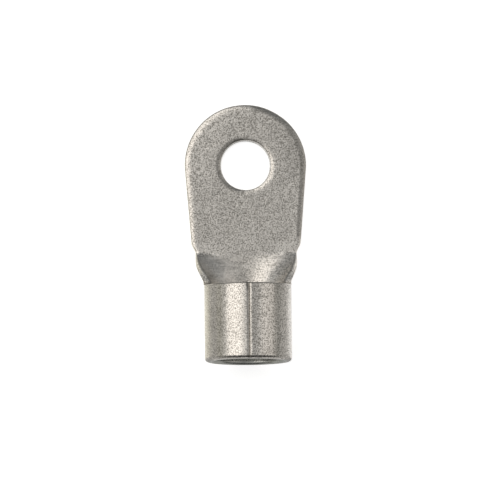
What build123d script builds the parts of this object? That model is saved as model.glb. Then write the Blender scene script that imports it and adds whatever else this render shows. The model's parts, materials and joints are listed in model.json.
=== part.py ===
"""Ring terminal with a bare wire barrel, stamped and rolled from one piece of plated sheet.

The terminal lies on its contact face, with the barrel seam on top. Lengths are in millimetres.
The origin is the centre of the stud hole in the plane of the contact face, +Z points up,
and +Y points from the barrel to the tip of the ring.
"""

import os
from math import acos, atan2, degrees, hypot, pi, sqrt

from build123d import *

# Sheet
sheet_thickness = 1.1
edge_break = 0.1  # bevel on the die side of every sheared edge
punch_roll = 0.45  # rounding that the punch leaves round the ring and the stud hole

# Ring and tongue
stud_hole_diameter = 6.6
ring_width = 16.2
waist_width = 14.55  # across the tongue where its tapered sides end
waist_rounding = 0.8
shoulder_length = 1.2  # from the waist to the crease, where the tongue narrows

# Neck, where the flat tongue rolls up into the barrel
crease_width = 13.5  # across the sheet where the sides start to rise
crease_distance = 11.8  # from the stud hole to the crease
crease_rounding = 0.6
crease_land = 0.2  # straight stretch of edge just before the crease
neck_length = 4.6
crease_lead = 0.5  # share of the bend that starts at once at the crease, 0 for none
notch_power = 8  # how late the sheet widens towards the barrel
notch_roll = 0.18  # rounding on the inner edge where the neck meets the barrel

# Barrel
barrel_diameter = 11.6
barrel_length = 10.3
mouth_rounding = 0.5  # outer edge at the wire end
mouth_bevel = 0.15  # inner edge at the wire end, to lead the strands in
front_rounding = 0.15  # both edges at the neck end, above the neck
trough_root = 0.6  # how far the neck's own section runs on inside the barrel wall

# Seam, where the two rolled edges meet and are brazed
lip_radius = 0.45  # rounding of each rolled edge
seam_depth = 0.26  # from the barrel surface to the filler metal

neck_stations = 9  # sections that carry the neck from flat to round

ring_radius = ring_width / 2
barrel_radius = barrel_diameter / 2
middle_radius = barrel_radius - sheet_thickness / 2
barrel_front = crease_distance + neck_length
barrel_end = barrel_front + barrel_length


def tongue_plate():
    """The flat ring and tongue, rounded on the punch side and bevelled on the die side."""
    half_waist = waist_width / 2
    half_crease = crease_width / 2
    waist_distance = crease_distance - shoulder_length
    reach = hypot(half_waist, waist_distance)
    taper = degrees(atan2(waist_distance, half_waist) - acos(ring_radius / reach))
    land_start = crease_distance - crease_land

    with BuildPart() as plate:
        with BuildSketch(Plane.XY):
            with BuildLine():
                ring = CenterArc((0, 0), ring_radius, -taper, 180 + 2 * taper)
                Polyline(
                    ring @ 1,
                    (-half_waist, -waist_distance),
                    (-half_crease, -land_start),
                    (-half_crease, -crease_distance),
                    (half_crease, -crease_distance),
                    (half_crease, -land_start),
                    (half_waist, -waist_distance),
                    ring @ 0,
                )
            outline = make_face()
            for distance, rounding in (
                (waist_distance, waist_rounding),
                (land_start, crease_rounding),
            ):
                corners = outline.vertices().filter_by_position(Axis.Y, -distance, -distance)
                outline = fillet(corners, rounding)
        extrude(amount=sheet_thickness)
        Hole(stud_hole_diameter / 2)

        sides = plate.edges().filter_by(
            lambda edge: edge.center().Y > -crease_distance + edge_break / 2
        )
        fillet(sides.group_by(Axis.Z)[-1], punch_roll)
        sides = plate.edges().filter_by(
            lambda edge: edge.center().Y > -crease_distance + edge_break / 2
        )
        chamfer(sides.group_by(Axis.Z)[0], edge_break)
    return plate.part


def neck_section(fraction):
    """Section across the neck, from the flat tongue at 0 to the lower half of the barrel at 1."""
    smooth = fraction**2 * (3 - 2 * fraction)
    curl = (1 - crease_lead) * smooth + crease_lead * fraction
    half_crease = crease_width / 2
    half_length = half_crease + (middle_radius * pi / 2 - half_crease) * fraction**notch_power
    inner_roll = punch_roll + (notch_roll - punch_roll) * fraction

    with BuildSketch(Plane.XZ.offset(crease_distance + fraction * neck_length)) as section:
        with BuildLine():
            if curl == 0:
                outer = Line((-half_length, 0), (half_length, 0))
                inner = Line((half_length, sheet_thickness), (-half_length, sheet_thickness))
            else:
                radius = middle_radius / curl
                half_angle = degrees(half_length / radius)
                centre = (0, radius + sheet_thickness / 2)
                outer = CenterArc(
                    centre, radius + sheet_thickness / 2, -90 - half_angle, 2 * half_angle
                )
                inner = CenterArc(
                    centre, radius - sheet_thickness / 2, -90 + half_angle, -2 * half_angle
                )
            Line(outer @ 1, inner @ 0)
            Line(inner @ 1, outer @ 0)
        make_face()
        corners = section.vertices().sort_by(lambda corner: corner.Y - abs(corner.X))
        fillet(corners[-2:], inner_roll)
        corners = section.vertices().sort_by(lambda corner: corner.Y - abs(corner.X))
        chamfer(corners[:2], edge_break)
    return section.sketch


def neck_trough():
    """The open trough between the tongue and the barrel, and its root within the barrel wall."""
    with BuildPart() as trough:
        loft([neck_section(i / (neck_stations - 1)) for i in range(neck_stations)])
        extrude(neck_section(1), amount=trough_root, dir=(0, -1, 0))
    return trough.part


def wire_barrel():
    """The tube that takes the wire, turned about its own axis."""
    with BuildPart() as barrel:
        with BuildSketch(Plane.XY.offset(barrel_radius)) as wall:
            with Locations((middle_radius, -(barrel_front + barrel_end) / 2)):
                Rectangle(sheet_thickness, barrel_length)
            wire_end, neck_end = wall.vertices().group_by(Axis.Y)
            inner_corner, outer_corner = wire_end.sort_by(Axis.X)
            chamfer(inner_corner, mouth_bevel)
            fillet(outer_corner, mouth_rounding)
            fillet(neck_end, front_rounding)
        revolve(axis=Axis((0, 0, barrel_radius), (0, 1, 0)))
    return barrel.part


def seam_groove():
    """The valley between the two rolled edges, down to the filler metal.

    Each edge is an arc that meets the barrel surface and the other edge without a corner.
    """
    lip_rise = sqrt((barrel_radius - lip_radius) ** 2 - lip_radius**2)
    lip_height = barrel_radius + lip_rise
    floor_height = barrel_diameter - seam_depth
    lip_start = degrees(atan2(lip_rise, lip_radius))
    lip_sweep = 90 + degrees(acos((floor_height - lip_height) / lip_radius)) - lip_start
    with BuildPart() as groove:
        with BuildSketch(Plane.XZ.offset(barrel_front - sheet_thickness)):
            with BuildLine():
                right = CenterArc((lip_radius, lip_height), lip_radius, lip_start, lip_sweep)
                left = CenterArc((-lip_radius, lip_height), lip_radius, 180 - lip_start, -lip_sweep)
                Line(right @ 1, left @ 1)
                Polyline(
                    left @ 0,
                    (-lip_radius, barrel_diameter + lip_radius),
                    (lip_radius, barrel_diameter + lip_radius),
                    right @ 0,
                )
            make_face()
        extrude(amount=barrel_length + 2 * sheet_thickness)
    return groove.part


with BuildPart() as terminal:
    add(tongue_plate())
    add(neck_trough())
    add(wire_barrel())
    add(seam_groove(), mode=Mode.SUBTRACT)

terminal.part.label = "ring_terminal"
os.makedirs("parts", exist_ok=True)
export_step(terminal.part, "parts/ring_terminal.step")

print("volume", round(terminal.part.volume, 2), "size", terminal.part.bounding_box().size)
print("solids", len(terminal.part.solids()), "faces", len(terminal.part.faces()))
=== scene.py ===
import json
from math import acos, atan2, cos, hypot, pi, radians, sin

import bmesh
import bpy
import numpy as np
from mathutils import Matrix, Vector


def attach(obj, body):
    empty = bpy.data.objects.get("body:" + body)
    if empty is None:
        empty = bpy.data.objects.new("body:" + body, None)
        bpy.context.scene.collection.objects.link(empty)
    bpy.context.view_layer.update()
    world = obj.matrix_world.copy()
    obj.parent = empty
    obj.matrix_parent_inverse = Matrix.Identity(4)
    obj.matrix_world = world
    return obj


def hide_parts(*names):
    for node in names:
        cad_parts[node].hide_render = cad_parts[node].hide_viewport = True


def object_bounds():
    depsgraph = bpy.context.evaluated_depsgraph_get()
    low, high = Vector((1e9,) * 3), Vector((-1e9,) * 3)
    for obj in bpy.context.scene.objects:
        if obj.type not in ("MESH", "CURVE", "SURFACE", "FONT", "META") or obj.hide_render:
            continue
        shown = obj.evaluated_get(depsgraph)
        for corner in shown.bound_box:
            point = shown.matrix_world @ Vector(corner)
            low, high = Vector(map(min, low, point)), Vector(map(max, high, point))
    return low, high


# A bare ring terminal of tin-plated copper, lying on a white table with its seam up.
# Lengths are in metres; MM turns a size in millimetres into one. A place in the sheet is given in
# the flat blank, before it is rolled: across from its middle line, along from the stud hole towards
# the wire end, and height above mid-thickness.

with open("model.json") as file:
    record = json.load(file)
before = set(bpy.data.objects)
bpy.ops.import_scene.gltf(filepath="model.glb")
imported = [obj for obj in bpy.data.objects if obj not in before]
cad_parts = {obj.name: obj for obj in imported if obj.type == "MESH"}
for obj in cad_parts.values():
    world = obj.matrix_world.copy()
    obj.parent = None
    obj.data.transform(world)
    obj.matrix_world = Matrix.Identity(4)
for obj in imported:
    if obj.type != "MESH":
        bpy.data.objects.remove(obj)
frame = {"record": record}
cad_low, cad_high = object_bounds()

MM = 0.001
NODE = "ring_terminal"

# Sizes that the frame gives
mounts = {mount["name"]: mount for mount in frame["record"]["mounts"]}
hole_radius = mounts["stud_hole"]["dims"]["r_mm"] * MM
bore_radius = mounts["wire_barrel"]["dims"]["r_mm"] * MM
barrel_radius = mounts["wire_barrel"]["pos_m"][2]
ring_radius = cad_high.y
barrel_end = -cad_low.y
thickness = barrel_radius - bore_radius
middle_radius = barrel_radius - thickness / 2
seam_across = pi * middle_radius  # from the middle of the sheet to the seam, along the sheet

# Outline of the flat blank
waist_half_width = 7.275 * MM  # where the tapered sides of the tongue end
waist_distance = 10.6 * MM
crease_half_width = 6.75 * MM  # where the sides start to rise
crease_distance = 11.7 * MM
crease_land = 0.1 * MM  # straight stretch of edge just before the crease
neck_length = 4.76 * MM
barrel_front = crease_distance + neck_length
notch_power = 16  # how late the sheet widens towards the barrel
notch_reach = 2.0 * MM  # from the barrel's side up to where its front edge is straight
crease_lead = 0.5  # share of the bend that starts at once at the crease
corner_length = 0.3 * MM  # stretch of outline that each corner is spread over

# Edges of the sheet. The punch draws the upper edge down over a width, by a smaller drop.
ring_roll = 0.92 * MM
waist_roll = 0.80 * MM
waist_lead = 2.0 * MM  # from the waist back to where the roll starts to narrow
crease_roll = 0.45 * MM
notch_roll = 0.15 * MM  # where the neck meets the barrel
notch_fade = 3  # cells of the barrel's front over which that roll passes into the front's own
hole_roll = 0.75 * MM
hole_taper = 0.08 * MM  # by which the stud hole is narrower at its lower edge, in radius
punch_drop = 0.20 * MM
punch_round = 0.14 * MM  # small round at the very edge, where the roll ends
blunt_drop = 0.25 * MM  # what the drop grows by where the rim is blunted, at the upper right
blunt_place = (4.2 * MM, -7.0 * MM)
blunt_size = 3.0 * MM
front_roll = 0.15 * MM  # both edges of the barrel's front
corner_roll = 0.04 * MM  # outer edge in the corner between the neck and the barrel's front
corner_reach = 4.5 * MM  # from that corner to where the front's rounding is full
corner_power = 4  # how late along the neck the lower rounding shrinks towards that corner
crown = 0.08 * MM  # by which the ring's rim lies lower than its middle
edge_break = 0.1 * MM  # rounding on the lower side
mouth_rounding = 0.5 * MM  # outer edge at the wire end
mouth_bevel = 0.15 * MM  # inner edge at the wire end
mouth_slant = 0.13 * MM  # by which the wire end stands back at the seam

# Seam: a narrow valley between two lips, towards which the right edge leans more than the left.
# Each is the radius of an arc and the depth to which it goes.
seam_lip, seam_depth = 0.14 * MM, 0.10 * MM
left_radius, left_depth = 2.0 * MM, 0.05 * MM
right_radius, right_depth = 0.9 * MM, 0.08 * MM
inner_lip, inner_seam_depth = 0.3 * MM, 0.06 * MM

# Cells of the mesh
ring_cells = 190  # along the edge from the tip of the ring to the crease
crease_cells = 104  # across the crease, and on along the lower half of the barrel
neck_cells = 36
front_cells = 76  # along the barrel's front edge, from the neck to the seam
front_gather = 1.6  # power that gathers those towards the seam
barrel_gather = 1.3  # power that gathers the barrel's rows towards its front
row_bend = 8  # power by which the neck's rows bend only near the edges
upper_cells = {"tongue": 46, "barrel": 40}  # rows on the upper side and inside the barrel
lower_cells = {"tongue": 16, "barrel": 76}  # rows on the lower side and outside the barrel
roll_cells = 15  # down the punch's roll
hole_roll_cells = 14
break_cells = 3  # down the rounding on the lower side
mouth_cells = 8
bevel_cells = 4
merge_distance = 0.0002 * MM  # points closer than this are one


def curl(along):
    """Bend of the sheet, 0 where it is flat and 1 in the barrel.

    With u the share of the neck's length, it is (1 - lead) * u^2 * (3 - 2u) + lead * u.
    """
    share = np.clip((along - crease_distance) / neck_length, 0, 1)
    return (1 - crease_lead) * share**2 * (3 - 2 * share) + crease_lead * share


def mouth_line(across):
    """How far along the wire end lies: it stands back towards the seam, by half a cosine wave."""
    return barrel_end - mouth_slant * (1 - np.cos(across / middle_radius)) / 2


def valley(distance, radius, depth):
    """Depth of the valley between two rolled edges, at a distance from its middle.

    Each edge is an arc that leaves the surface at a reach of sqrt(2 * radius * depth - depth^2), so
    the depth is radius - sqrt(radius^2 - (reach - distance)^2).
    """
    reach = np.sqrt(2 * radius * depth - depth**2)
    inward = np.clip(reach - distance, 0, reach)
    return radius - np.sqrt(radius**2 - inward**2)


def rolled(across, along, height):
    """Points of the sheet after rolling, from their place in the flat blank.

    A section of curvature k turns by a = across * k, so x = across * sin(a)/a - height * sin(a) and
    z = half thickness + across * (a/2) * (sin(a/2)/(a/2))^2 + height * cos(a).

    Before that the sheet is made thinner in places. Its upper side sinks by the crown, times the
    square of the share of the way from the stud hole to the ring's rim; this fades from the hole's
    middle to one hole radius behind it. At the seam the outer side sinks in by the narrow valley
    and by the lean of its edge, a wider valley, and the inner side by a valley of its own.
    """
    rim = seam_across - np.abs(across)
    share = height / thickness
    out = np.clip((np.hypot(across, along) - hole_radius) / (ring_radius - hole_radius), 0, 1)
    ahead = np.clip(1 - along / hole_radius, 0, 1)
    height = height - crown * out**2 * ahead * np.clip(share + 0.5, 0, 1)
    lean = np.where(
        across > 0, valley(rim, right_radius, right_depth), valley(rim, left_radius, left_depth)
    )
    height = height - (valley(rim, seam_lip, seam_depth) + lean) * (share - 0.5)
    height = height - valley(rim, inner_lip, inner_seam_depth) * (0.5 + share)
    angle = across * curl(along) / middle_radius
    x = across * np.sinc(angle / pi) - height * np.sin(angle)
    z = thickness / 2 + across * angle / 2 * np.sinc(angle / 2 / pi) ** 2 + height * np.cos(angle)
    return np.stack(np.broadcast_arrays(x, -along, z), axis=-1)


def evenly(points, count):
    """Points evenly spaced by length along a path, count stretches of them."""
    length = np.concatenate([[0], np.cumsum(np.hypot(*np.diff(points, axis=0).T))])
    wanted = np.linspace(0, length[-1], count + 1)
    return np.stack([np.interp(wanted, length, points[:, axis]) for axis in (0, 1)], axis=-1)


def blank_edge():
    """Right-hand edge of the flat blank as (across, along), from the tip of the ring to the seam.

    It is an arc round the ring, a tangent to the waist, a slope in to the crease, the neck's edge
    and the barrel's front edge. With u the share of the neck's length, its edge has grown from the
    crease to the front edge by a share of 1 - sqrt(1 - u^power), which ends level with the front
    edge. A moving average over corner_length rounds the corners. Returns the points of the
    stretches before the crease, along the neck and along the front, and their outward normals.
    """
    before_tip = 0.1  # angle by which the arc starts before the tip, for the moving average
    arc_points, neck_points = 2000, 600
    step = 0.005 * MM
    reach = hypot(waist_half_width, waist_distance)
    taper = atan2(waist_distance, waist_half_width) - acos(ring_radius / reach)
    turn = np.linspace(pi / 2 + before_tip, -taper, arc_points)
    share = np.sin(np.linspace(0, pi / 2, neck_points))
    side = middle_radius * pi / 2
    path = np.concatenate([
        np.stack([ring_radius * np.cos(turn), -ring_radius * np.sin(turn)], axis=-1),
        [(waist_half_width, waist_distance), (crease_half_width, crease_distance - crease_land)],
        np.stack([
            crease_half_width
            + (side + notch_reach - crease_half_width) * (1 - np.sqrt(1 - share**notch_power)),
            crease_distance + neck_length * share,
        ], axis=-1),
        [(seam_across + corner_length, barrel_front)],
    ])
    total = np.hypot(*np.diff(path, axis=0).T).sum()
    path = evenly(path, int(total / step))
    window = int(corner_length / step)
    kernel = np.ones(window) / window
    path = np.stack([np.convolve(path[:, axis], kernel, mode="valid") for axis in (0, 1)], axis=-1)

    tip = np.argmax(path[:, 0] >= 0)
    crease = np.argmax(path[:, 1] >= crease_distance)
    notch = crease + np.argmin(np.hypot(path[crease:, 0] - side, path[crease:, 1] - barrel_front))
    seam = np.argmax(path[:, 0] >= seam_across)
    path[tip, 0] = 0
    path[seam] = (seam_across, barrel_front)
    tangent = np.gradient(path, axis=0)
    tangent /= np.hypot(*tangent.T)[:, None]
    normal = np.stack([tangent[:, 1], -tangent[:, 0]], axis=-1)
    both = np.concatenate([path, normal], axis=1)

    def stretch(start, end, count, gather=1.0):
        """Samples between two places, gathered towards the end by a power."""
        place = start + (end - start) * (1 - (1 - np.linspace(0, 1, count + 1)) ** gather)
        index = np.arange(len(both))
        sampled = np.stack([np.interp(place, index, column) for column in both.T], axis=-1)
        return sampled[:, :2], sampled[:, 2:]

    return (
        stretch(tip, crease, ring_cells),
        stretch(crease, notch, neck_cells),
        stretch(notch, seam, front_cells, front_gather),
    )


ring_edge, neck_edge, front_edge = blank_edge()
MIRROR = np.array([-1, 1])
spread = np.linspace(-1, 1, crease_cells + 1)  # from the left edge of the sheet to the right one


def rolls():
    """Widths of the rounding on the upper and the lower edge, for the three stretches of the edge.

    From the tip to the crease the upper one follows straight lines between the widths given above.
    Along the neck both pass to their widths in the corner at the barrel's front, and along the
    front from there to the front's own.
    """
    share = np.linspace(0, 1, neck_cells + 1)
    fade = np.exp(-np.arange(front_cells + 1) / notch_fade)
    corner = np.clip(1 - (front_edge[0][:, 0] - front_edge[0][0, 0]) / corner_reach, 0, 1)
    places = (-ring_radius, 0, waist_distance - waist_lead, crease_distance)
    widths = (ring_roll, ring_roll, waist_roll, crease_roll)
    upper = (
        np.interp(ring_edge[0][:, 1], places, widths),
        crease_roll + (notch_roll - crease_roll) * share,
        front_roll + (notch_roll - front_roll) * fade,
    )
    lower = (
        np.full(ring_cells + 1, edge_break),
        edge_break + (corner_roll - edge_break) * share**corner_power,
        front_roll + (corner_roll - front_roll) * corner,
    )
    return upper, lower


upper_roll, lower_roll = rolls()


def inset(stretch, depth):
    """The edge moved into the sheet by a depth."""
    points, normals = stretch
    return points - normals * np.reshape(depth, (-1, 1))


def placed(name, data):
    """A new object in the scene."""
    made = bpy.data.objects.new(name, data)
    bpy.context.scene.collection.objects.link(made)
    return made


class Shell:
    """Gathers grids of points into one closed mesh.

    Each point keeps its place in the sheet and its cut, 0 on the sheet's sides and 1 on cut edges.
    """

    def __init__(self):
        self.points, self.sheet, self.cut, self.faces, self.count = [], [], [], [], 0

    def grid(self, across, along, height, cut=0.0, closed=False):
        """Adds a grid, whose columns join up if it is closed."""
        across, along, height, cut = np.broadcast_arrays(across, along, height, cut)
        rows, columns = across.shape
        self.points.append(rolled(across, along, height).reshape(-1, 3))
        self.sheet.append(np.stack([across, along, height], axis=-1).reshape(-1, 3))
        self.cut.append(np.ravel(cut))
        index = self.count + np.arange(rows * columns).reshape(rows, columns)
        if closed:
            index = np.concatenate([index, index[:, :1]], axis=1)
        corners = (index[:-1, :-1], index[:-1, 1:], index[1:, 1:], index[1:, :-1])
        self.faces.append(np.stack([np.ravel(corner) for corner in corners], axis=-1))
        self.count += rows * columns

    def build(self, name):
        """Merges the doubles along the grids' borders and turns the faces outwards."""
        mesh = bpy.data.meshes.new(name)
        points, faces = np.concatenate(self.points), np.concatenate(self.faces)
        mesh.from_pydata(points.tolist(), [], faces.tolist())
        sheet = mesh.attributes.new("sheet", "FLOAT_VECTOR", "POINT")
        sheet.data.foreach_set("vector", np.concatenate(self.sheet).astype(np.float32).ravel())
        cut = mesh.attributes.new("cut", "FLOAT", "POINT")
        cut.data.foreach_set("value", np.concatenate(self.cut).astype(np.float32))
        shell = bmesh.new()
        shell.from_mesh(mesh)
        bmesh.ops.remove_doubles(shell, verts=shell.verts, dist=merge_distance)
        bmesh.ops.recalc_face_normals(shell, faces=shell.faces)
        shell.to_mesh(mesh)
        shell.free()
        mesh.shade_smooth()
        return placed(name, mesh)


def closed_edge(roll):
    """The whole outline moved in by its roll: down the right side, over the seam, up the left."""
    ring, neck, front = (inset(*pair) for pair in zip((ring_edge, neck_edge, front_edge), roll))
    right = np.concatenate([ring, neck[1:], front[1:]])
    return np.concatenate([right, right[-2:0:-1] * MIRROR])


def tongue_border(ring, crease_half):
    """Closed border of the tongue: up its right side to the tip, down the left, over the crease."""
    crease = np.stack([crease_half * spread, np.full_like(spread, crease_distance)], axis=-1)
    return np.concatenate([ring[::-1], ring[1:] * MIRROR, crease[1:-1]])


def barrel_border(lower, right, mirror):
    """Closed row round the barrel: over its lower half, up the right side, down the left one."""
    return np.concatenate([lower, right[1:], mirror * right[-2:0:-1]])


hole_aim = tongue_border(ring_edge[0], neck_edge[0][0, 0])
hole_aim = hole_aim / np.hypot(*hole_aim.T)[:, None]  # directions from the stud hole's middle

front_across = front_edge[0][:, 0]
mouth_across = barrel_border(front_across[0] * spread, front_across, -1)
mouth_along = mouth_line(mouth_across)


def skin(shell, side, roll, rows, hole_inset, mouth_inset):
    """One side of the sheet: side is 1 for the upper and inner one, -1 for the lower and outer one.

    The tongue is a closed grid from the outline to the stud hole, the points of a column lying on
    one line. The neck is a grid across the sheet. The barrel is a closed grid from its front to the
    mouth.
    """
    height = side * thickness / 2
    ring, neck, front = (inset(*pair) for pair in zip((ring_edge, neck_edge, front_edge), roll))

    outer, inner = tongue_border(ring, neck[0, 0]), hole_aim * (hole_radius + hole_inset)
    share = np.linspace(0, 1, rows["tongue"] + 1)[:, None, None]
    tongue = outer + (inner - outer) * share
    shell.grid(tongue[..., 0], tongue[..., 1], height, closed=True)

    level = neck_edge[0][:, 1:]
    neck_along = level + (neck[:, 1:] - level) * spread**row_bend
    shell.grid(neck[:, :1] * spread, neck_along, height)

    across = barrel_border(neck[-1, 0] * spread, front[:, 0], -1)
    along = barrel_border(neck_along[-1], front[:, 1], 1)
    share = np.linspace(0, 1, rows["barrel"] + 1)[:, None] ** barrel_gather
    shell.grid(
        across + (mouth_across - across) * share,
        along + (mouth_along - mouth_inset - along) * share,
        height, closed=True,
    )


def quarter(count):
    """Inset and drop of a quarter round from the flat side to the edge, as shares of its radius."""
    turn = np.linspace(0, pi / 2, count + 1)[:, None]
    return 1 - np.sin(turn), 1 - np.cos(turn)


def sheared_edge(shell):
    """The cut edge round the blank: the punch's roll above, a plain wall and a small round below.

    The roll is a quarter ellipse, as wide as the roll and as high as the punch's drop, which grows
    by a Gauss curve round the blunt place. A small round of its own at the very edge deepens it.
    """
    wall = np.array([0.03, 0.25, 0.5, 0.75, 0.97])[:, None]  # its rows, as shares of its height
    top_inset, top_drop = quarter(roll_cells)
    low_inset, low_drop = (shares[::-1] for shares in quarter(break_cells))
    outline = closed_edge((0, 0, 0))
    top, low = closed_edge(upper_roll), closed_edge(lower_roll)
    top_width = np.hypot(*(outline - top).T)
    low_width = np.hypot(*(outline - low).T)

    blunt = np.exp(-((outline - blunt_place) ** 2).sum(axis=1) / blunt_size**2)
    small_round = np.minimum(top_width, punch_round)
    top_height = (
        thickness / 2
        - top_drop * np.minimum(top_width, punch_drop + blunt_drop * blunt)
        - valley(top_inset * top_width, small_round, small_round)
    )
    low_height = -thickness / 2 + low_drop * low_width
    wall_height = top_height[-1] + (low_height[0] - top_height[-1]) * wall

    place = np.concatenate([
        outline + (top - outline) * top_inset[..., None],
        outline + 0 * wall[..., None],
        outline + (low - outline) * low_inset[..., None],
    ])
    height = np.concatenate([top_height, wall_height, low_height])
    cut = np.concatenate([1 - top_inset, 1 + 0 * wall, 1 - low_inset])
    shell.grid(place[..., 0], place[..., 1], height, cut=cut, closed=True)


def stud_hole(shell):
    """The wall of the stud hole: the punch's roll above, a taper and a small round below."""
    top_inset, top_drop = quarter(hole_roll_cells)
    low_inset, low_drop = (shares[::-1] for shares in quarter(break_cells))
    radius = hole_radius + np.concatenate([
        top_inset * hole_roll, low_inset * edge_break - hole_taper
    ])
    small_round = valley(top_inset * hole_roll, punch_round, punch_round)
    height = np.concatenate([
        thickness / 2 - top_drop * punch_drop - small_round,
        -thickness / 2 + low_drop * edge_break,
    ])
    cut = np.concatenate([1 - top_inset, 1 - low_inset])
    shell.grid(hole_aim[:, 0] * radius, hole_aim[:, 1] * radius, height, cut=cut, closed=True)


def wire_mouth(shell):
    """The end of the barrel: a bevel inside, a narrow flat and a round outside."""
    low_inset, low_drop = (shares[::-1] for shares in quarter(mouth_cells))
    bevel = np.linspace(0, 1, bevel_cells + 1)[:, None]
    along = mouth_along - np.concatenate([mouth_bevel * (1 - bevel), low_inset * mouth_rounding])
    height = np.concatenate([
        thickness / 2 - mouth_bevel * bevel, -thickness / 2 + low_drop * mouth_rounding
    ])
    cut = np.concatenate([np.ones_like(bevel), low_drop**2])
    shell.grid(mouth_across, along, height, cut=cut, closed=True)


def hills(points, size, count, seed):
    """Smooth random relief from -1 to 1 or so: a sum of plane waves in random directions.

    The waves are from size / 1.6 to size / 0.6 long.
    """
    rng = np.random.default_rng(seed)
    heading = rng.normal(size=(count, 3))
    heading /= np.linalg.norm(heading, axis=1)[:, None]
    wave = 2 * pi / size * rng.uniform(0.6, 1.6, count)
    phase = rng.uniform(0, 2 * pi, count)
    total = np.zeros(len(points))
    for direction, number, start in zip(heading, wave, phase):
        total += np.sin(points @ (direction * number) + start)
    return total / np.sqrt(count / 2) / 2


def scratch(sheet, start, end, width, depth):
    """A dent along a line in the sheet: a Gauss curve across it, fading out at its ends."""
    start, end = np.array(start) * MM, np.array(end) * MM
    run = end - start
    place = np.clip(((sheet[:, :2] - start) @ run) / (run @ run), 0, 1)
    away = np.hypot(*(sheet[:, :2] - start - place[:, None] * run).T)
    return depth * MM * np.exp(-(away / (width * MM)) ** 2) * (0.4 + 0.6 * np.sin(pi * place))


# Waves and ripples of the sheet, by their size and half their swing
wave_size, wave_depth = 3.0 * MM, 0.006 * MM
ripple_size, ripple_depth = 0.8 * MM, 0.0025 * MM
darkest_mark = 0.02 * MM  # depth at which a mark is as dull as can be
sheltered = 0.3  # share of the wear left underneath and inside the barrel

# Dents and scratches: start and end as (across, along) in mm, then half width and depth
UPPER_SCRATCHES = (
    ((1.2, 5.6), (2.8, 5.45), 0.08, 0.014),
    ((3.6, 6.65), (3.9, 6.5), 0.10, 0.016),
    ((6.35, 1.5), (6.5, 2.1), 0.09, 0.012),
    ((-5.9, 1.0), (-5.15, 2.3), 0.08, 0.010),
    ((-5.5, 9.0), (-4.4, 9.3), 0.10, 0.008),
    ((-1.0, -5.2), (0.4, -5.6), 0.09, 0.008),
    ((-4.4, 12.6), (-3.0, 12.65), 0.09, 0.010),
    ((-4.2, 13.1), (-2.8, 13.15), 0.09, 0.012),
    ((-3.7, 13.6), (-2.7, 13.6), 0.09, 0.008),
    ((-1.2, 14.6), (-0.4, 14.6), 0.08, 0.010),
    ((4.3, 12.9), (5.3, 13.9), 0.10, 0.010),
    ((3.9, 13.3), (4.7, 14.4), 0.09, 0.008),
)
OUTER_SCRATCHES = (
    ((15.66, 17.8), (14.92, 17.3), 0.09, 0.020),
    ((15.66, 18.42), (13.9, 18.38), 0.09, 0.016),
    ((14.6, 23.4), (14.75, 23.45), 0.12, 0.018),
    ((-12.8, 21.55), (-12.7, 21.7), 0.12, 0.018),
    ((-14.9, 23.4), (-14.4, 22.7), 0.09, 0.010),
    ((10.9, 17.4), (10.3, 18.0), 0.10, 0.014),
    ((-16.25, 16.5), (-16.3, 17.4), 0.12, 0.020),
)


# Where painted shade darkens the tin, as directions from the stud hole and a place in the sheet
FAR_SIDE = (-0.26, -0.97)
UPPER_LEFT = (-0.77, -0.64)
TROUGH_CORNER = (-6.0 * MM, 12.5 * MM)


def ramp(value, start, end):
    """0 at the start, 1 at the end and a straight line between them."""
    return np.clip((value - start) / (end - start), 0, 1)


# Painted shade: these places are darkened in colour in place of real shadow and shading
def shaded_places(sheet, points, normals):
    """How much painted shade darkens the tin at each point, 0 where there is none.

    It is the sum of several places, each with a strength of its own: the slopes of the tongue that
    face right; the wall of the stud hole, most at its far side; the ring's rim at the upper left;
    the two lips at the seam; the line along the barrel's front; the flanks behind it, where it dies
    away over a millimetre; the left corner of the trough; and the lower part of the face at the
    wire end. Each is painted shade: darkness put into the colour where slopes turn from the light
    and where recesses, crevices and edges lie in shade.
    """
    across, along = sheet[:, 0], sheet[:, 1]
    outside = sheet[:, 2] <= 0
    out = np.hypot(across, along)
    from_seam = seam_across - np.abs(across)
    behind = along - barrel_front
    wire_end = mouth_line(across)

    tongue = along < crease_distance - 2 * MM
    slopes = ramp(normals[:, 0], 0.008, 0.068) * ramp(normals[:, 2], 0, 1 / 3) * tongue
    hole_wall = out < hole_radius + 0.03 * MM
    far_side = ramp(sheet[:, :2] @ FAR_SIDE / out, 0.5, 0.9)
    ring_rim = (out > ring_radius - 0.1 * MM) & (along < 0)
    upper_left = ramp(sheet[:, :2] @ UPPER_LEFT / out, 0.75, 0.95)
    left_lip = (across < 0) & (from_seam > 0.04 * MM) & (from_seam < 0.24 * MM) & outside
    right_lip = (across > 0) & (from_seam < 0.25 * MM) & outside
    front_line = (from_seam < 5 * MM) & (np.abs(behind) < 0.16 * MM) & outside
    flanks = ramp(from_seam, 5 * MM, 6 * MM) * outside * (behind > -0.01 * MM)
    flanks = flanks * np.exp(-np.abs(behind) / MM)
    trough_corner = np.exp(-((sheet[:, :2] - TROUGH_CORNER) ** 2).sum(axis=1) / MM**2) * ~outside
    beneath = 1 - ramp(points[:, 2], barrel_radius + 2 * MM, barrel_radius + 3 * MM)
    end_face = ramp(along, wire_end - 0.4 * MM, wire_end) * beneath

    return (
        0.5 * slopes + (0.3 + 0.6 * far_side) * hole_wall + 0.65 * upper_left * ring_rim
        + 0.45 * left_lip + 0.3 * right_lip + 0.8 * front_line + 0.4 * flanks
        + 0.2 * trough_corner + 0.8 * end_face
    )


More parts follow.
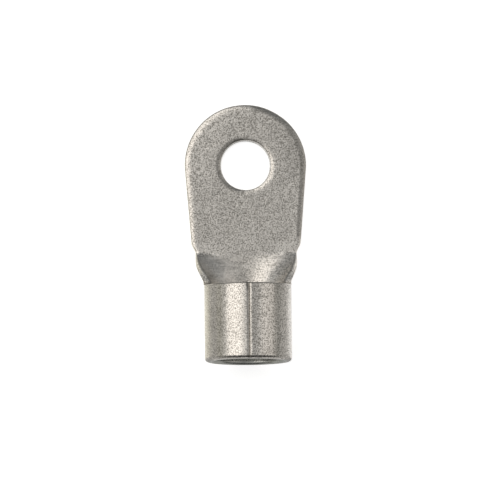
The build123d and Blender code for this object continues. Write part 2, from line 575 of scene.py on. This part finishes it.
def worn(piece):
    """Presses waves, dents and scratches into the sheet, inwards along its normals.

    The painted shade of the shaded places and the darkening of the marks go into one attribute,
    from 0 to 1.
    """
    mesh = piece.data

    def read(data, name):
        """The vectors that the mesh keeps for each vertex."""
        values = np.zeros(len(data) * 3)
        data.foreach_get(name, values)
        return values.reshape(-1, 3)

    points = read(mesh.vertices, "co")
    normals = read(mesh.vertex_normals, "vector")
    sheet = read(mesh.attributes["sheet"].data, "vector")
    upper = sheet[:, 2] > 0

    depth = wave_depth * (1 + hills(points, wave_size, 30, seed=3))
    depth += ripple_depth * (1 + hills(points, ripple_size, 60, seed=4))
    marks = sum(scratch(sheet, *mark) * upper for mark in UPPER_SCRATCHES)
    marks += sum(scratch(sheet, *mark) * ~upper for mark in OUTER_SCRATCHES)
    # Painted shade from the shaded places, plus the darkening of the real marks
    shade_and_wear = shaded_places(sheet, points, normals) + marks / darkest_mark
    shade_and_marks = mesh.attributes.new("shade_and_marks", "FLOAT", "POINT")
    shade_and_marks.data.foreach_set("value", np.clip(shade_and_wear, 0, 1).astype(np.float32))

    inward = np.clip(depth + marks, 0, None)
    resting = points[:, 2] < 0.02 * MM
    inward[resting] *= sheltered
    inward[upper & (sheet[:, 1] > barrel_front)] *= sheltered
    points = points - normals * inward[:, None]
    mesh.vertices.foreach_set("co", points.ravel())
    mesh.update()


class Value:
    """A number that varies over a surface. Sums and products of it add Math nodes."""

    def __init__(self, finish, socket):
        self.finish, self.socket = finish, socket

    def _math(self, operation, other):
        return self.finish.value("ShaderNodeMath", {"operation": operation}, {0: self, 1: other})

    def __add__(self, other):
        return self._math("ADD", other)

    __radd__ = __add__

    def __mul__(self, other):
        return self._math("MULTIPLY", other)

    __rmul__ = __mul__

    def __sub__(self, other):
        return self._math("SUBTRACT", other)

    def __rsub__(self, other):
        return (self * -1) + other

    def clipped(self):
        """The number, held between 0 and 1."""
        return self.finish.value("ShaderNodeClamp", {}, {"Value": self})

    def between(self, low, high):
        """0 below low, 1 above high and a smooth step between them."""
        return self.finish.value(
            "ShaderNodeMapRange", {"interpolation_type": "SMOOTHSTEP"},
            {"Value": self, "From Min": low, "From Max": high},
        )

    def within(self, start, risen, falling, end):
        """0 before the start and after the end, 1 from risen to falling, with smooth steps."""
        return self.between(start, risen) * (1 - self.between(falling, end))


class Finish:
    """The nodes of a material or of the room, under construction."""

    def __init__(self, owner):
        self.owner = owner
        owner.use_nodes = True
        self.tree = owner.node_tree
        self.tree.nodes.clear()

    def node(self, kind, settings=None, values=None):
        """Adds a node: its settings first, then the values or links of its sockets."""
        made = self.tree.nodes.new(kind)
        for name, setting in (settings or {}).items():
            setattr(made, name, setting)
        for socket, value in (values or {}).items():
            target = made.inputs[socket]
            if isinstance(value, Value):
                value = value.socket
            if isinstance(value, bpy.types.NodeSocket):
                self.tree.links.new(value, target)
            else:
                target.default_value = value
        return made

    def value(self, kind, settings=None, values=None, output=0):
        """Adds a node and takes one of its outputs as a number."""
        return Value(self, self.node(kind, settings, values).outputs[output])

    def split(self, vector):
        """The three parts of a vector."""
        parts = self.node("ShaderNodeSeparateXYZ", None, {"Vector": vector}).outputs
        return tuple(Value(self, part) for part in parts)

    def scaled(self, vector, factors):
        """A vector, each part of it times its own factor."""
        made = self.node("ShaderNodeVectorMath", {"operation": "MULTIPLY"}, {0: vector, 1: factors})
        return made.outputs["Vector"]

    def noise(self, place, size, detail=2.0, roughness=0.5):
        """Fractal noise of about 0 to 1, whose features are about as large as size."""
        values = {"Vector": place, "Scale": 1 / size, "Detail": detail, "Roughness": roughness}
        return self.value("ShaderNodeTexNoise", {"noise_dimensions": "3D"}, values)


def mix_colours(finish, share, start, end):
    """A colour between two others, by a share that varies."""
    first, second = (
        colour if isinstance(colour, bpy.types.NodeSocket) else (*colour, 1)
        for colour in (start, end)
    )
    settings = {"data_type": "RGBA", "clamp_factor": True}
    return finish.node("ShaderNodeMix", settings, {0: share, 6: first, 7: second}).outputs[2]


def tin_plate():
    """Electro-tinned copper: a grey satin metal, finely pitted and mottled.

    The places in the sheet tell its parts apart, each with smooth steps at its borders: the neck,
    whose upper side is smoother and streaked across; the inside of the barrel, smooth and a little
    green; the barrel's left flank, smoother and darker by painted shade; the lips at the seam,
    smoother; and the two places pressed pale just before the crease. Cut edges are smoother and
    darker, with a dark line of painted shade where they meet the neck's upper side. The painted
    shade of the shaded places and the marks darken it too. The finer the noise, the more it counts
    in the tone.
    """
    finish = Finish(bpy.data.materials.new("tin_plate"))
    place = finish.node("ShaderNodeTexCoord").outputs["Object"]
    sheet = finish.node("ShaderNodeAttribute", {"attribute_name": "sheet"}).outputs["Vector"]
    across, along, height = finish.split(sheet)
    # The second attribute holds painted shade together with the marks' darkening
    cut, shade_and_marks = (
        finish.value("ShaderNodeAttribute", {"attribute_name": name}, output="Fac")
        for name in ("cut", "shade_and_marks")
    )

    grain = finish.noise(place, 0.16 * MM, detail=1.0, roughness=0.5)
    mottle = finish.noise(place, 0.40 * MM, detail=2.0, roughness=0.6)
    clouds = finish.noise(place, 3.0 * MM, detail=3.0, roughness=0.5)
    drawn_out = finish.scaled(sheet, (0.12, 1, 1))
    streaks = finish.noise(drawn_out, 0.22 * MM, detail=2.0, roughness=0.6)

    neck = along.within(
        crease_distance, crease_distance + 1 * MM, barrel_front - 0.5 * MM, barrel_front
    )
    polish = neck * (0.78 - 0.5 * across.between(-3 * MM, 0)) * height.between(0.2 * MM, 0.4 * MM)
    barrel = along.between(barrel_front, barrel_front + 1 * MM)
    inside = barrel * height.between(0, 0.2 * MM)
    outside = barrel * (1 - height.between(-0.2 * MM, 0))
    flank = outside * (1 - across.between(-8.0 * MM, -7.0 * MM))
    flank = flank * (0.5 + 0.5 * across.between(-12.2 * MM, -11.0 * MM))
    squared = across * across
    seam = squared.between((seam_across - 0.35 * MM) ** 2, (seam_across - 0.15 * MM) ** 2)
    pressed = squared.between((2 * MM) ** 2, (5 * MM) ** 2) * along.within(
        crease_distance - 1.7 * MM, crease_distance - 0.9 * MM,
        crease_distance - 0.2 * MM, crease_distance + 0.2 * MM,
    )
    # Painted shade: a dark line along the neck's inner cut edge, where it meets the trough
    line = cut.within(0.1, 0.4, 0.93, 0.99) * neck * height.between(0, 0.2 * MM)

    # How much of the grain shows, then how pale the tin is, and how much painted shade, the marks
    # and the cut edges darken it
    coarse = (1 - cut * (1 - neck) * 0.5) * (1 - polish) * (1 - inside * 0.9)
    coarse = coarse * (1 - flank * 0.5) * (1 - seam * 0.6)
    pits = (1 - grain.between(0.32, 0.46)) * 0.75 * coarse
    tone = ((grain - 0.5) * 4.6 * coarse + (mottle - 0.5) * 1.2 + (clouds - 0.5) * 0.5
            + pressed * 0.5 + neck * (0.06 + (streaks - 0.5) * 1.3) + 0.52).clipped()
    # Painted shade: the shaded places, the dark line and the left flank's darkening; the marks are
    # real wear
    dark = shade_and_marks + cut * (0.16 - 0.08 * neck) + line * 0.5 + flank * 0.06

    grey_tin, pale_tin = (0.43, 0.405, 0.37), (0.87, 0.83, 0.775)
    # After the pits' colour comes the darkest one, for painted shade and worn marks
    pitted, shade_and_wear_colour, greenish = (0.22, 0.21, 0.185), (0.2, 0.19, 0.17), (0.54, 0.57, 0.54)
    colour = mix_colours(finish, tone, grey_tin, pale_tin)
    colour = mix_colours(finish, pits, colour, pitted)
    colour = mix_colours(finish, dark * 0.9, colour, shade_and_wear_colour)
    colour = mix_colours(finish, inside * 0.5, colour, greenish)
    roughness = (0.20 + 0.14 * mottle + 0.10 * pits + 0.10 * neck).clipped()
    relief = (grain * 0.6 + mottle * 0.8) * coarse
    bump = finish.node(
        "ShaderNodeBump", None, {"Strength": 1.0, "Distance": 0.018 * MM, "Height": relief}
    )
    shader = finish.node("ShaderNodeBsdfPrincipled", None, {
        "Base Color": colour, "Roughness": roughness, "Metallic": 1.0,
        "Normal": bump.outputs["Normal"],
    })
    finish.node("ShaderNodeOutputMaterial", None, {"Surface": shader.outputs["BSDF"]})
    return finish.owner


def ring_terminal():
    """The whole terminal: the sheet's two sides, its cut edge, the stud hole and the wire mouth."""
    shell = Shell()
    skin(shell, 1, upper_roll, upper_cells, hole_roll, mouth_bevel)
    skin(shell, -1, lower_roll, lower_cells, edge_break - hole_taper, mouth_rounding)
    sheared_edge(shell)
    stud_hole(shell)
    wire_mouth(shell)
    piece = shell.build("terminal_sheet")
    worn(piece)
    piece.data.materials.append(tin_plate())
    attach(piece, "root")
    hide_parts(NODE)


def table():
    """A white table top, with a glow that makes it plain white to the camera where no shadow falls.

    In mirrors the glow fades with the distance from the stud hole, where lengths along the terminal
    count three tenths. There it is also weaker beyond the ring and beyond the wire end, and
    yellower on the left.
    """
    half_width = 2.0
    level = cad_low.z - 0.02 * MM
    fading = (8 * MM, 24 * MM)  # this and the next three are distances from the stud hole
    ring_side = (6.5 * MM, 9.5 * MM)
    wire_side = (26.4 * MM, 26.9 * MM)
    left_side = (0, 12 * MM)
    camera_glow, mirror_glow, far_mirror_glow = 0.745, 0.8, 0.06
    yellowish = (0.86, 0.84, 0.69)
    mesh = bpy.data.meshes.new("table_top")
    signs = ((-1, -1), (1, -1), (1, 1), (-1, 1))
    corners = [(x * half_width, y * half_width, level) for x, y in signs]
    mesh.from_pydata(corners, [], [(0, 1, 2, 3)])
    top = placed("table_top", mesh)

    finish = Finish(bpy.data.materials.new("white_table"))
    rays = finish.node("ShaderNodeLightPath").outputs
    glossy, transmitted, direct = (
        Value(finish, rays["Is " + kind + " Ray"]) for kind in ("Glossy", "Transmission", "Camera")
    )
    place = finish.node("ShaderNodeTexCoord").outputs["Object"]
    right, ahead = finish.split(place)[:2]
    near = finish.scaled(place, (1, 0.3, 1))
    away = finish.value("ShaderNodeVectorMath", {"operation": "LENGTH"}, {0: near}, "Value")
    mirrored = (glossy + transmitted).clipped()
    mirrored = mirrored * (1 - 0.6 * ahead.between(*ring_side))
    mirrored = mirrored * (1 - 0.7 * (ahead * -1).between(*wire_side))
    faded = (mirror_glow - far_mirror_glow) * away.between(*fading)
    glow = direct * camera_glow + mirrored * (mirror_glow - faded)
    on_left = (right * -1).between(*left_side) * mirrored
    colour = mix_colours(finish, on_left, (1, 1, 1), yellowish)
    diffuse = finish.node("ShaderNodeBsdfDiffuse", None, {"Color": (0.8, 0.8, 0.8, 1)})
    emission = finish.node("ShaderNodeEmission", None, {"Color": colour, "Strength": glow})
    both = finish.node("ShaderNodeAddShader", None, {0: diffuse.outputs[0], 1: emission.outputs[0]})
    finish.node("ShaderNodeOutputMaterial", None, {"Surface": both.outputs[0]})
    mesh.materials.append(finish.owner)


# What the lamps aim at, and each lamp's name, place, size, roll in degrees, radiance and colour
LAMP_TARGET = Vector((0, -10 * MM, 0))
LAMPS = (
    ("softbox", (-0.288, 0.146, 0.464), (0.435, 0.69), -27, 1.0, (1, 0.955, 0.905)),
    ("fill", (0.402, 0.061, 0.315), (0.38, 0.38), 0, 0.5, (1, 0.955, 0.91)),
)


def studio():
    """A softbox at the upper left, a weaker fill at the right and a grey room.

    A direction in it is a unit vector, whose parts say how far it points right, ahead beyond the
    ring and up. The room gets lighter towards the ceiling, the left wall and the two far corners.
    It is darker beyond the wire end and in a band a little to the right, which gives the metal its
    dark bands. Its colour is a little yellower near the floor, most on the left, and bluer beyond
    the ring.
    """
    room = Finish(bpy.data.worlds.new("studio"))
    bpy.context.scene.world = room.owner
    right, far, up = room.split(room.node("ShaderNodeTexCoord").outputs["Generated"])
    band = right.within(0.02, 0.12, 0.22, 0.42) * (1 - far.between(0.5, 0.8))
    left_wall = (right * -1).between(0.5, 0.9) * (0.15 + 0.17 * up.between(0.1, 0.5))
    corners = (right * right).between(0.03, 0.2) * far.between(0.3, 0.55)
    grey = (0.25 + 0.34 * up.between(0.6, 1.0) + left_wall + 0.09 * corners) * (1 - 0.46 * band)
    grey = grey * (0.2 + 0.8 * far.between(-0.75, -0.05))
    low = mix_colours(room, (right * -1).between(-0.3, 0.6), (0.985, 1, 0.93), (1, 0.98, 0.85))
    colour = mix_colours(room, up.between(0.0, 0.5), low, (1, 1, 0.99))
    colour = mix_colours(room, far.between(0.15, 0.55), colour, (0.96, 1, 1.03))
    shade = room.node("ShaderNodeBackground", None, {"Color": colour, "Strength": grey})
    room.node("ShaderNodeOutputWorld", None, {"Surface": shade.outputs["Background"]})
    for settings in LAMPS:
        lamp(*settings)


def facing(place, target, roll):
    """The matrix of a lamp or camera that is aimed at a target, with a roll in degrees."""
    back = (place - target).normalized()
    right = Vector((0, 1, 0)).cross(back).normalized()
    turn = Matrix((right, back.cross(right), back)).transposed()
    turn = turn @ Matrix.Rotation(radians(roll), 3, "Z")
    return Matrix.Translation(place) @ turn.to_4x4()


def lamp(name, place, size, roll, radiance, colour):
    """A rectangular lamp, whose radiance is the same from any distance."""
    light = bpy.data.lights.new(name, "AREA")
    light.shape = "RECTANGLE"
    light.size, light.size_y = size
    light.energy = radiance * pi * size[0] * size[1]
    light.color = colour
    placed(name, light).matrix_world = facing(Vector(place), LAMP_TARGET, roll)


def camera():
    """A long lens, nearly straight above the terminal, a little towards the wire end."""
    distance = 1.6
    view_width = 66.6 * MM
    elevation = radians(84.95)
    azimuth = radians(-21.5)
    roll = -0.53
    target = Vector((0.49 * MM, -11.37 * MM, 1.1 * MM))
    flat = cos(elevation)
    back = Vector((sin(azimuth) * flat, -cos(azimuth) * flat, sin(elevation)))
    lens = bpy.data.cameras.new("camera")
    lens.sensor_width = 36
    lens.lens = lens.sensor_width * distance / view_width
    lens.clip_start, lens.clip_end = 0.05, 10
    holder = placed("camera", lens)
    holder.matrix_world = facing(target + back * distance, target, roll)
    bpy.context.scene.camera = holder


ring_terminal()
table()
studio()
camera()
bpy.context.scene.view_settings.view_transform = "Standard"
